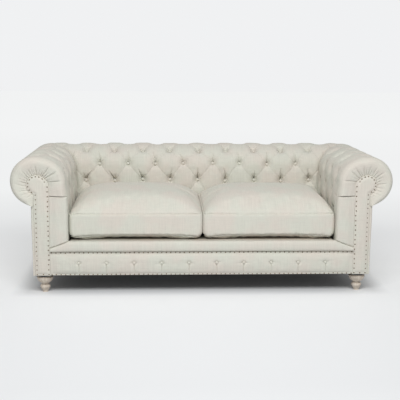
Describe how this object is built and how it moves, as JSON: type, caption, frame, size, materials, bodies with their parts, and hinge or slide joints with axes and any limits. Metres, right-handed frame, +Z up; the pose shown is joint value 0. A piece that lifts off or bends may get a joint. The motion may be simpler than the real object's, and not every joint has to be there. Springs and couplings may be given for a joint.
{
  "type": "chesterfield sofa",
  "caption": "Low-backed linen chesterfield sofa with deep-buttoned rolled arms and back of one height, loose box cushions, nailed keyhole arm facings, a buttoned front border and turned feet.",
  "frame": {"origin": "on the floor under the middle of the sofa's overall box", "axes": "+X to the right as seen from the front, along the width; +Y from the front to the back; +Z up"},
  "size_m": [2.2098, 0.9899, 0.7999],
  "materials": {
    "linen": "off-white linen with a fine slub weave, matte",
    "deck_linen": "plain lining cloth, matte",
    "frame_wood": "planed, unfinished hardwood",
    "whitewashed_wood": "whitewashed grey oak, matte",
    "steel": "bright drawn steel",
    "bronze": "small dark antique nail heads",
    "black_disc": "matte black",
    "black_cloth": "thin black dust cloth, matte",
    "burlap": "plain woven jute",
    "foam": "cut upholstery foam"
  },
  "bodies": {
    "root": {"front_rail": "frame_wood", "rear_rail": "frame_wood", "rear_spring_rail": "frame_wood", "left_side_rail": "frame_wood", "right_side_rail": "frame_wood", "cross_rails": "frame_wood", "corner_blocks": "frame_wood", "left_arm_board": "frame_wood", "right_arm_board": "frame_wood", "left_arm_former": "frame_wood", "right_arm_former": "frame_wood", "left_corner_post": "frame_wood", "right_corner_post": "frame_wood", "left_arm_top_rail": "frame_wood", "right_arm_top_rail": "frame_wood", "left_arm_tack_rail": "frame_wood", "right_arm_tack_rail": "frame_wood", "left_back_former": "frame_wood", "middle_back_former": "frame_wood", "right_back_former": "frame_wood", "back_top_rail": "frame_wood", "back_tack_rail": "frame_wood", "seat_springs": "steel", "spring_clips": "steel", "deck_cloth": "burlap", "deck_pad": "deck_linen", "front_lip": "linen", "front_border": "linen", "inside_back_pad": "linen", "left_inside_arm_pad": "linen", "right_inside_arm_pad": "linen", "left_arm_border": "linen", "right_arm_border": "linen", "left_arm_facing": "linen", "right_arm_facing": "linen", "left_outside_arm_panel": "linen", "right_outside_arm_panel": "linen", "outside_back_panel": "linen", "dust_cover": "black_cloth", "back_buttons": "linen", "left_arm_buttons": "linen", "right_arm_buttons": "linen", "border_buttons": "linen", "left_facing_nails": "bronze", "right_facing_nails": "bronze", "border_nails": "bronze", "front_left_foot": "whitewashed_wood", "front_right_foot": "whitewashed_wood", "rear_left_foot": "whitewashed_wood", "rear_right_foot": "whitewashed_wood", "foot_discs": "black_disc", "foot_bolts": "steel"},
    "left_cushion": {"left_cushion_cover": "linen", "left_cushion_core": "foam"},
    "right_cushion": {"right_cushion_cover": "linen", "right_cushion_core": "foam"}
  },
  "joints": [
    {"name": "left_cushion_lift", "type": "slide", "parent": "root", "child": "left_cushion", "axis": [0, 0, 1], "range_m": [0, 0.5]},
    {"name": "right_cushion_lift", "type": "slide", "parent": "root", "child": "right_cushion", "axis": [0, 0, 1], "range_m": [0, 0.5]}
  ]
}
